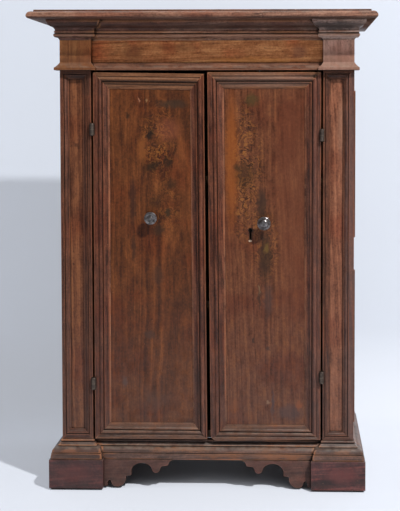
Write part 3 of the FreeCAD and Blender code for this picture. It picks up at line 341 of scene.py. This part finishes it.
strip_tones = ("#2E1A13", "#503022", "#6C422F")
strip_upright = old_wood("moulding_walnut_upright", "Z", strip_tones, crest="#8A5238",
                         marks=[stain_or_painted_light(356, 560, 14, 700, "#9C7E78", 0.17)])     # bleached corner
strip_level = old_wood("moulding_walnut_level", "X", strip_tones, crest="#8A5238")
fields = {"left": (("#482616", "#6C4028", "#875434"),
                   [stain_or_painted_light(-312, 842, 7, 6, "#3C2216", 0.7),     # a knot and its streak
                    stain_or_painted_light(-309, 800, 7, 30, "#4A2818")]),
          "right": (("#553020", "#7E4E38", "#9A654A"),
                    [stain_or_painted_light(338, 880, 16, 90, "#96705A", 0.35)])}    # bleached wood
for side, (tones, marks) in fields.items():
    rubbed_copy(f"pilaster_{side}", old_wood(f"pilaster_walnut_{side}", "Z", tones, marks=marks))
    rubbed_copy(f"pilaster_{side}_uprights", strip_upright)
    rubbed_copy(f"pilaster_{side}_rails", strip_level)

# --- Frieze ---
# A plain board of the best orange-brown walnut, set back between two blocks with flared feet,
# and a small moulding along its lower edge, all glued to the case. Up here the polish is whole.

frieze_marks = [stain_or_painted_light(-175, 1066, 26, 20, "#6A3A20", 0.55),     # bruised and darker
                stain_or_painted_light(-60, 1078, 60, 9, "#7C4424", 0.45),
                stain_or_painted_light(120, 1048, 120, 9, "#D88A44", 0.5),       # the freshest polish
                stain_or_painted_light(232, 1070, 20, 18, "#8A5A44", 0.5)]
rubbed_copy("frieze_board", old_wood(
    "frieze_walnut", "X", ("#8C4E26", "#BE7848", "#E09C62"), ring_mm=9, warm_share=0.6,
    stain_share=0.35, marks=frieze_marks))
rubbed_copy("frieze_block_left", old_wood(
    "frieze_block_walnut_left", "Z", ("#8A5430", "#AA6B40", "#BC7E4C"),
    marks=[stain_or_painted_light(-312, 1034, 110, 38, "#4C2E1E", 0.75)]))       # painted shade over the lit foot
rubbed_copy("frieze_block_right", old_wood(
    "frieze_block_walnut_right", "Z", ("#A07866", "#C49682", "#D6A894"),
    # painted shade over the lit foot, as on the left block
    marks=[stain_or_painted_light(330, 1034, 110, 38, "#6A4A3C", 0.75)]))
rubbed_copy("architrave_moulding", old_wood(
    "architrave_walnut", "X", ("#3A2318", "#634030", "#7C5540"), relief_mm=5, crest="#96644A"))

# --- Cornice ---
# Bed mouldings worked on blocks over the pilasters and on a straight run between, under one wide
# board with a rounded edge. Red-brown walnut, pale and rubbed on the edge; painted shade darkens
# the cove and under the roll, and a painted highlight lies on the roll.

bed_tones = {"left": ("#4A2C1E", "#7C5142", "#96695A"), "centre": ("#5C3524", "#A4715A", "#C2947C"),
             "right": ("#866252", "#D0AE9E", "#E8CDBE")}
bed_light_and_shade = [stain_or_painted_light(0, 1131, 1000, 12, "#221917", 0.6),  # painted shade in the cove
             stain_or_painted_light(0, 1109, 1000, 6, "#C09074", 0.55),  # painted highlight on the roll
             stain_or_painted_light(0, 1096, 1000, 5, "#1E1614", 0.7),   # painted shadow under the roll
             # deeper painted shade in the cove at the right end
             stain_or_painted_light(318, 1129, 60, 11, "#1E1A1C", 0.6)]
for part, tones in bed_tones.items():
    rubbed_copy(f"cornice_bed_{part}", old_wood(
        f"cornice_bed_walnut_{part}", "X", tones, relief_mm=6, crest="#A8724C", wear="#B08468",
        marks=bed_light_and_shade))
rubbed_copy("cornice_board", old_wood(
    "cornice_board_walnut", "X", ("#4A2F24", "#805A48", "#A27A64"), wear="#D2B8A4", wear_share=0.8))

# --- Base ---
# A bold base moulding over plinth boards, with moulded blocks under the pilasters and scroll-cut
# brackets between the plinth blocks. Scuffed and darkened near the floor, with more shine than the
# rest because feet and cloths have burnished it; the plinth was stained red.

base_tones = ("#1E140F", "#4D362C", "#7C5A4B")
plinth_tones = ("#190B0B", "#452121", "#78403A")
base_marks = [stain_or_painted_light(-316, 97, 80, 30, "#2E2019", 0.6),  # the left block is dirtier
              stain_or_painted_light(-330, 95, 22, 6, "#90542E", 0.6),   # patches still in orange polish
              stain_or_painted_light(-60, 95, 90, 6, "#86583A", 0.7),
              stain_or_painted_light(40, 81, 60, 5, "#83502E", 0.6),
              stain_or_painted_light(190, 80, 70, 7, "#8A5430", 0.75),
              stain_or_painted_light(150, 96, 60, 5, "#7E5234", 0.6),
              stain_or_painted_light(335, 97, 22, 5, "#8A5836", 0.5)]
base_finish = {"relief_mm": 7, "gloss": 0.35, "crest": "#A86A40", "wear": "#A87A5C"}
base_walnut = old_wood("base_moulding_walnut", "X", base_tones, marks=base_marks, **base_finish)
base_side_walnut = old_wood("base_side_walnut", "Y", base_tones, **base_finish)
plinth_marks = [stain_or_painted_light(-320, 42, 80, 50, "#22110F", 0.5),    # dark with dirt on the left
                stain_or_painted_light(-316, 42, 46, 26, "#6A2E28", 0.35),   # the red stain where it is whole
                stain_or_painted_light(337, 42, 42, 20, "#642C28", 0.75)]
plinth_finish = {"gloss": 0.4, "floor_grey": 0.2}
plinth_walnut = old_wood("plinth_walnut", "X", plinth_tones, marks=plinth_marks, **plinth_finish)
plinth_side_walnut = old_wood("plinth_side_walnut", "Y", plinth_tones, **plinth_finish)
bracket_walnut = old_wood("bracket_walnut", "X", ("#38221C", "#5B3B32", "#764E42"),
                          marks=[stain_or_painted_light(-200, 60, 150, 70, "#2C1A16", 0.25)])
for node in ("base_block_left", "base_block_right", "base_moulding_centre"):
    rubbed_copy(node, base_walnut)
for side in ("left", "right"):
    rubbed_copy(f"base_side_{side}", base_side_walnut)
    rubbed_copy(f"plinth_block_{side}", plinth_walnut)
    rubbed_copy(f"plinth_side_{side}", plinth_side_walnut)
    rubbed_copy(f"apron_bracket_{side}", bracket_walnut)

# --- Frames on the sides ---
# The pilaster moulding again: four walnut strips with mitred corners, glued round a field on
# each side board. A length of the right side's front strip has come off.

strip_deep = old_wood("moulding_walnut_deep", "Y", strip_tones, crest="#8A5238")
for side in ("left", "right"):
    rubbed_copy(f"side_frame_{side}_uprights", strip_upright)
    rubbed_copy(f"side_frame_{side}_rails", strip_deep)

# --- Doors ---
# One wide walnut plank each, with a mitred frame of two-step moulding glued on the front and
# two softwood ledges nailed on behind. The polish is worn and stained where hands have been, and
# both planks show burl: gold curls with fine dark cracks between.


def burl_figure(across, high, half_width, half_height, share=0.9):
    """A patch of burl: curling gold veins and fine dark cracks that follow one another."""
    def painted(material, place, ragged, colour):
        spot = add(material, "Mapping", {
            "Vector": ragged, "Location": (across * MM, 0, high * MM),
            "Scale": (half_width * MM, 1000, half_height * MM)}, vector_type="TEXTURE")
        reach = add(material, "VectorMath", {0: spot}, out="Value", operation="LENGTH")
        islands = add(material, "TexNoise", {"Vector": place, "Scale": 38.0, "Detail": 3.0,
                                             "Roughness": 0.7})
        patch = product(material, spread(material, reach, 1.25, 0.35, 0, share),
                        spread(material, islands, 0.36, 0.56, 0.1, 1))
        curls = add(material, "TexNoise", {"Vector": ragged, "Scale": 30.0, "Detail": 2.0,
                                           "Distortion": 1.2})
        curls = add(material, "Math", {0: product(material, curls, 14.0), 1: 1.0},
                    operation="PINGPONG")
        gold = product(material, spread(material, curls, 0.6, 0.9), patch)
        dark = product(material, spread(material, curls, 0.4, 0.1), patch)
        colour = blended(material, product(material, gold, 0.6), colour, "#9C642C")
        return blended(material, dark, colour, "#1E130A")
    return painted


left_marks = [
    burl_figure(-112, 850, 46, 95),                     # burl figure above the knob
    burl_figure(-95, 690, 45, 80, 0.5),
    stain_or_painted_light(-132, 867, 8, 17, "#1C140C", 0.9, turn=12),   # iron stains beside the burl
    stain_or_painted_light(-188, 915, 6, 9, "#22180E", 0.78),
    stain_or_painted_light(-78, 942, 42, 11, "#2E281E", 0.59),
    stain_or_painted_light(-127, 790, 24, 13, "#241809", 0.78, turn=-15),
    stain_or_painted_light(-90, 801, 11, 16, "#241809", 0.65),
    stain_or_painted_light(-79, 747, 13, 14, "#2C1D0E", 0.65),
    stain_or_painted_light(-89, 676, 9, 12, "#2A2212", 0.85),
    stain_or_painted_light(-120, 702, 15, 16, "#301B0C", 0.65),
    stain_or_painted_light(-112, 634, 18, 14, "#2E2014", 0.65),
    stain_or_painted_light(-175, 708, 9, 60, "#2E1A12", 0.72),           # a dark streak down the grain
    stain_or_painted_light(-173, 590, 7, 36, "#2A1A12", 0.65),
    stain_or_painted_light(-114, 522, 15, 26, "#41291C", 0.59),
    stain_or_painted_light(-134, 375, 14, 12, "#3C2A22", 0.65),
    stain_or_painted_light(-197, 258, 7, 14, "#4B3C38", 0.78),
    stain_or_painted_light(-123, 214, 36, 30, "#4A352B", 0.45),
    stain_or_painted_light(-88, 880, 32, 30, "#733E2A", 0.52),           # redder and more orange wood
    stain_or_painted_light(-152, 830, 12, 34, "#7C4720", 0.72),
    stain_or_painted_light(-160, 952, 1.6, 8, "#9A6A50", 0.9),           # scratches down to pale wood
    stain_or_painted_light(-141, 952, 4, 4, "#8A6A48", 0.78)]
right_marks = [
    stain_or_painted_light(215, 700, 46, 330, "#6A3B26", 0.4),                   # the plainer, redder half
    burl_figure(98, 780, 50, 190),
    burl_figure(150, 600, 40, 110, 0.6),
    stain_or_painted_light(68, 806, 17, 170, "#8A4A1C", 0.7),                    # an orange band down the left
    stain_or_painted_light(117, 952, 16, 17, "#463A1C", 0.65),
    stain_or_painted_light(100, 770, 30, 34, "#3A2410", 0.59),
    stain_or_painted_light(80, 787, 9, 10, "#2A2012", 0.65),
    stain_or_painted_light(141, 697, 13, 42, "#33241A", 0.78),                   # grime round and under the knob
    stain_or_painted_light(149, 572, 17, 66, "#2C1E12", 0.78),
    stain_or_painted_light(153, 590, 6, 14, "#6A5024", 0.65),                    # a yellow scar in the grime
    stain_or_painted_light(135, 487, 2.5, 12, "#A8845C", 0.9),
    stain_or_painted_light(135, 470, 5, 34, "#2C1D16", 0.72),
    stain_or_painted_light(156, 462, 12, 44, "#42302A", 0.65),
    stain_or_painted_light(119, 362, 3, 8, "#2E1C16", 0.9),
    stain_or_painted_light(156, 344, 6, 6, "#3A2822", 0.78),
    stain_or_painted_light(210, 186, 34, 20, "#3D3234", 0.59),
    stain_or_painted_light(168, 203, 4, 42, "#41373A", 0.65),
    stain_or_painted_light(156, 210, 5, 5, "#8A6A54", 0.78),
    stain_or_painted_light(75, 202, 9, 18, "#7E4624", 0.65),
    stain_or_painted_light(232, 203, 8, 14, "#84482A", 0.78),
    stain_or_painted_light(113.2, 634, 6.2, 6.2, "#0E0806", 0.95, crisp=True),   # painted shade: the keyhole drawn wider than the hole cut in the board
    stain_or_painted_light(113.2, 620, 4.2, 14, "#0E0806", 0.9, crisp=True),
    stain_or_painted_light(112.5, 608, 4, 2.4, "#C2A890", 0.95, crisp=True)]     # and its lip, bare wood
door_strip_tones = ("#2E1912", "#563122", "#74442F")
door_strip_upright = old_wood("door_moulding_upright", "Z", door_strip_tones, crest="#8F5538",
                              marks=[stain_or_painted_light(270, 560, 16, 700, "#8A6A62", 0.15)])
door_strip_level = old_wood("door_moulding_level", "X", ("#35200F", "#63402B", "#82583C"),
                            crest="#99603C", floor_grey=0.55,
                            # painted highlights: orange along the left top rail, a pale sheen along
                            # the right
                            marks=[stain_or_painted_light(-131, 998, 170, 24, "#8A5A3A", 0.25),
                                   stain_or_painted_light(147, 998, 150, 24, "#9C7866", 0.3)])
rubbed_copy("left_door_board", old_wood(
    "left_door_walnut", "Z", ("#3B1D0C", "#5A3015", "#764220"), marks=left_marks,
    burls=[((-0.112, -0.16, 0.842), (0.05, 1, 0.06), 0.075),
           ((-0.105, -0.16, 0.925), (0.03, 1, 0.035), 0.04)]))
rubbed_copy("right_door_board", old_wood(
    "right_door_walnut", "Z", ("#43200E", "#623823", "#79492B"), heart=(0.2, 0.06, 0.4),
    marks=right_marks))
for side in ("left", "right"):
    rubbed_copy(f"{side}_door_uprights", door_strip_upright)
    rubbed_copy(f"{side}_door_rails", door_strip_level)
    rubbed_copy(f"{side}_door_ledges", inside_softwood)

# --- Ironwork ---
# Forged and turned iron: hinges, knobs, nuts, the lock with its bolt, the slide bolt and the
# staples. A skin of old oxide makes it dark and dull; hands and keys have rubbed it brighter.


def old_iron(name, dark, bright, polish=0.0):
    """Forged iron: a dull pitted oxide skin, rubbed high spots and dirt in the hollows."""
    material = new_material(name)
    place = add(material, "TexCoord", out="Object")
    clouds = add(material, "TexNoise", {"Vector": place, "Scale": 120.0, "Detail": 4.0})
    edge_reach, hollow_reach = 2 * MM, 3.5 * MM
    relief_depth = 0.3 * MM
    # Pits 1.4 mm apart: real ones are finer, drawn coarser so that they show.
    pits = add(material, "TexVoronoi", {"Vector": place, "Scale": 700.0}, out="Distance")
    rubbed = spread(material, add(material, "AmbientOcclusion", {"Distance": edge_reach}, out="AO",
                                  samples=8, inside=True, only_local=True), 0.85, 0.5, 0, 0.65)
    share = add(material, "Math", {0: spread(material, clouds, 0.35, 0.65, 0, 0.25), 1: rubbed},
                operation="ADD", use_clamp=True)
    colour = blended(material, share, dark, bright)
    hollow = spread(material, add(material, "AmbientOcclusion", {"Distance": hollow_reach}, out="AO",
                                  samples=8), 0.85, 0.5, 0, 0.85)
    colour = blended(material, hollow, colour, "#120D0B")
    rough = spread(material, clouds, 0.3, 0.7, 0.62 - polish, 0.45 - polish)
    bump = add(material, "Bump", {"Height": product(material, pits, 0.4, clouds),
                                  "Strength": 0.5, "Distance": relief_depth})
    return finished(material, Base_Color=colour, Metallic=0.8, Roughness=rough, Normal=bump)


knob_iron = old_iron("knob_iron", "#4A4442", "#C8C2C2", polish=0.2)     # bright from handling
hinge_iron = old_iron("hinge_iron", "#4A403A", "#8A7C6C")               # brown and dusty
lock_iron = old_iron("lock_iron", "#242120", "#4E4844")                 # nearly black, untouched
for node, material in (
        ("left_knob", knob_iron), ("right_knob", knob_iron), ("left_knob_nut", lock_iron),
        ("right_knob_nut", lock_iron), ("hinge_pins_left", hinge_iron),
        ("hinge_pins_right", hinge_iron), ("left_hinge_eyes", hinge_iron),
        ("right_hinge_eyes", hinge_iron), ("lock_case", lock_iron), ("lock_bolt", lock_iron),
        ("lock_spring", lock_iron), ("top_bolt", lock_iron), ("door_staples", lock_iron)):
    frame["nodes"][node].data.materials.clear()
    frame["nodes"][node].data.materials.append(material)

# --- Nails ---
# Hand-made iron nails with faceted rose heads. They hold the back boards and the case together,
# the ledges on the doors and the lock on its board. Hammering has left each head a little
# different in size and turn; the iron is brown-black.

nails = bpy.data.node_groups.new("rose_head_nails", "GeometryNodeTree")
for name, kind in (("Geometry", "Geometry"), ("Head width", "Float"), ("Head height", "Float"),
                   ("Iron", "Material")):
    nails.interface.new_socket(name, in_out="INPUT", socket_type="NodeSocket" + kind)
nails.interface.new_socket("Geometry", in_out="OUTPUT", socket_type="NodeSocketGeometry")
given = nails.nodes.new("NodeGroupInput").outputs
head = add(nails, "GeometryNodeMeshCone", {
    "Vertices": 6, "Radius Bottom": product(nails, given["Head width"], 0.5),
    "Radius Top": product(nails, given["Head width"], 0.12), "Depth": given["Head height"]})
facing = add(nails, "GeometryNodeInputNamedAttribute", {"Name": "facing"},
             data_type="FLOAT_VECTOR")
aim = add(nails, "FunctionNodeAlignRotationToVector", {"Vector": facing}, axis="Z")
lowest, highest, seed, number_out = 2, 3, 8, 1              # the random node's number sockets
swell = add(nails, "FunctionNodeRandomValue", {lowest: 0.82, highest: 1.0, seed: 4},
            out=number_out)
turn = add(nails, "FunctionNodeRandomValue", {lowest: 0.0, highest: math.tau, seed: 9},
           out=number_out)
placed = add(nails, "GeometryNodeInstanceOnPoints", {
    "Points": given["Geometry"], "Instance": head, "Rotation": aim, "Scale": swell})
placed = add(nails, "GeometryNodeRotateInstances", {
    "Instances": placed, "Rotation": add(nails, "CombineXYZ", {"Z": turn})})
placed = add(nails, "GeometryNodeRealizeInstances", {"Geometry": placed})
placed = add(nails, "GeometryNodeSetMaterial", {"Geometry": placed, "Material": given["Iron"]})
add(nails, "NodeGroupOutput", {"Geometry": placed}, out=None)
nail_iron = old_iron("nail_iron", "#2A211C", "#6E5C50")
sunk = 0.2                          # millimetres of each head that lie in the wood


def driven(body, width, spots):
    """Nail heads of one body: each spot is a point in millimetres and the way the head faces."""
    mesh = bpy.data.meshes.new(body + "_nail_points")
    mesh.from_pydata([[MM * (at - sunk * way) for at, way in zip(spot, faces)]
                      for spot, faces in spots], [], [])
    facing = mesh.attributes.new("facing", "FLOAT_VECTOR", "POINT")
    for number, (spot, faces) in enumerate(spots):
        facing.data[number].vector = faces
    seats = bpy.data.objects.new(body + "_nail_seats", mesh)
    bpy.context.scene.collection.objects.link(seats)
    modifier = seats.modifiers.new("nails", "NODES")
    modifier.node_group = nails
    for socket in nails.interface.items_tree:
        value = {"Head width": width * MM, "Head height": nail_stand * MM,
                 "Iron": nail_iron}.get(socket.name)
        if value is not None:
            modifier[socket.identifier] = value
    bpy.context.view_layer.update()
    done = bpy.data.meshes.new_from_object(seats.evaluated_get(bpy.context.evaluated_depsgraph_get()))
    bpy.data.objects.remove(seats)
    heads = bpy.data.objects.new(body + "_nails", done)
    bpy.context.scene.collection.objects.link(heads)
    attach(heads, body)


def middle(node, axis):
    """The middle of a node along one axis, in millimetres."""
    low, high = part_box(node)
    return (low[axis] + high[axis]) / 2 / MM


back, leftward, rightward = (0, 1, 0), (-1, 0, 0), (1, 0, 0)
case_nail, door_nail = 7.5, 6.5             # how wide the heads are, in millimetres
across_board = (0.14, 0.5, 0.86)            # three nails in the width of each back board
rebate, lowest_nail, nail_gap, nails_up = 5, 190, 108, 9    # a row up each edge of the back
side_nails = (-95, 45, 185)                 # three through each side, from front to back
ledge_across, ledge_up = (-88, 0, 88), (20, 57, 606, 643)   # two rows in each of two ledges
lock_corner = 6                             # one nail in each corner of the lock case

case_spots = []
for node in back_hearts:
    low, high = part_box(node)
    for level in ("bottom_board", "lower_shelf", "upper_shelf", "carcass_top"):
        for share in across_board:
            case_spots.append(((low[0] / MM + share * (high[0] - low[0]) / MM,
                                high[1] / MM - nail_stand, middle(level, 2)), back))
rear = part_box("back_board_left")[1][1] / MM - nail_stand
for edge in (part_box("back_board_left")[0][0] / MM + rebate,
             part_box("back_board_right")[1][0] / MM - rebate):
    for step in range(nails_up):
        case_spots.append(((edge, rear, lowest_nail + nail_gap * step), back))
for node, way, corner in (("side_board_left", leftward, 0), ("side_board_right", rightward, 1)):
    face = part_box(node)[corner][0] / MM
    for level in ("bottom_board", "carcass_top"):
        for deep in side_nails:
            case_spots.append(((face, deep, middle(level, 2)), way))
driven("case", case_nail, case_spots)
for side in ("left", "right"):
    low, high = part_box(f"{side}_door_ledges")
    spots = [((middle(f"{side}_door_ledges", 0) + across, high[1] / MM, low[2] / MM + up), back)
             for across in ledge_across for up in ledge_up]
    if side == "right":
        low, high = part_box("lock_case")
        spots += [((x / MM + inward, high[1] / MM, z / MM + upward), back)
                  for x, inward in ((low[0], lock_corner), (high[0], -lock_corner))
                  for z, upward in ((low[2], lock_corner), (high[2], -lock_corner))]
    driven(f"{side}_door", door_nail, spots)

# --- Room, camera and light ---
# A pale painted floor that sweeps up into a wall behind the cupboard, matt and faintly blue. The
# paint has a painted glow, seen by the eye and in reflections on the wood, that lights nothing and
# fades close under the case. One lamp stands high on the right, and an even pale sky fills the
# shadows.

room = new_material("pale_paint")
room_height = add(room, "SeparateXYZ", {0: add(room, "TexCoord", out="Object")}, out="Z")
paint_colour = blended(room, spread(room, room_height, 0.0, 0.3), "#D2D6DE", "#D0D6E0")
paint = add(room, "BsdfPrincipled", {"Base Color": paint_colour, "Roughness": 0.9,
                                     "Specular IOR Level": 0.1})
# A painted glow for camera and reflection rays only, weaker where the case hems the floor in.
glow = add(room, "Emission", {"Color": linear("#F0F5FF"), "Strength": 1.0})
glow_share = 0.39
open_air = spread(room, add(room, "AmbientOcclusion", {"Distance": 0.3}, out="AO", samples=16),
                  0.12, 0.66, 0, glow_share)
ray = room.node_tree.nodes.new("ShaderNodeLightPath").outputs
seen = add(room, "Math", {0: ray["Is Camera Ray"], 1: ray["Is Glossy Ray"]})
seen = add(room, "Math", {0: seen, 1: ray["Is Transmission Ray"]}, use_clamp=True)
seen = add(room, "Math", {0: seen, 1: open_air}, operation="MULTIPLY")
front = add(room, "MixShader", {0: seen, 1: paint, 2: glow})
see_through = add(room, "BsdfTransparent")
back_seen = add(room, "NewGeometry", out="Backfacing")
add(room, "OutputMaterial", {"Surface": add(room, "MixShader",
                                            {0: back_seen, 1: front, 2: see_through})}, out=None)


def laid(name, points, faces):
    """A painted surface of the room."""
    mesh = bpy.data.meshes.new(name)
    mesh.from_pydata(points, [], faces)
    mesh.materials.append(room)
    mesh.shade_smooth()
    surface = bpy.data.objects.new(name, mesh)
    bpy.context.scene.collection.objects.link(surface)


wall_depth, sweep, reach = 0.579, 0.25, 12.0        # metres
floor_end, bends = wall_depth - sweep, 16
profile = [(-reach, 0.0), (floor_end, 0.0)]
profile += [(floor_end + sweep * math.sin(bend * math.pi / 2 / bends),
             sweep - sweep * math.cos(bend * math.pi / 2 / bends)) for bend in range(1, bends + 1)]
profile.append((wall_depth, reach))
laid("backdrop", [(side * reach, deep, high) for deep, high in profile for side in (-1, 1)],
     [(2 * n, 2 * n + 1, 2 * n + 3, 2 * n + 2) for n in range(len(profile) - 1)])
laid("floor_behind", [(-reach, floor_end, -MM), (reach, floor_end, -MM),
                      (reach, reach, -MM), (-reach, reach, -MM)], [(0, 1, 2, 3)])

picture_width, picture_height = 400, 511
axis_across, axis_down = 268.95, 156.2      # where the camera's axis meets the picture
looks_down, looks_left = 2.4, 1.4           # degrees
camera = bpy.data.objects.new("camera", bpy.data.cameras.new("camera"))
bpy.context.scene.collection.objects.link(camera)
camera.location = (0.2225, -2.79, 0.9255)       # metres, to the right of the cupboard's middle
camera.rotation_euler = (math.radians(90 - looks_down), 0, math.radians(looks_left))
camera.data.sensor_width = 36               # millimetres, and so is the lens
camera.data.lens = 76.19
camera.data.shift_x = (picture_width / 2 - axis_across) / picture_height
camera.data.shift_y = (axis_down - picture_height / 2) / picture_height
bpy.context.scene.camera = camera

key = bpy.data.objects.new("key_light", bpy.data.lights.new("key_light", "AREA"))
bpy.context.scene.collection.objects.link(key)
key_distance = 6.5
key_way = Vector((1, -1, 1.65)).normalized()
key_aim = Vector((0, -0.15, 0.6))
key.data.shape = "DISK"
key.data.size = 0.2                         # metres across
key.data.energy = 537                       # watts
key.location = key_aim + key_distance * key_way
key.rotation_euler = (key_aim - key.location).to_track_quat("-Z", "Y").to_euler()

world = bpy.data.worlds.new("studio")
bpy.context.scene.world = world
world.use_nodes = True
world.node_tree.nodes.clear()
sky = add(world, "Background", {"Color": linear("#EEF0F4"), "Strength": 0.26})
add(world, "OutputWorld", {"Surface": sky}, out=None)

bpy.context.scene.view_settings.view_transform = "Standard"
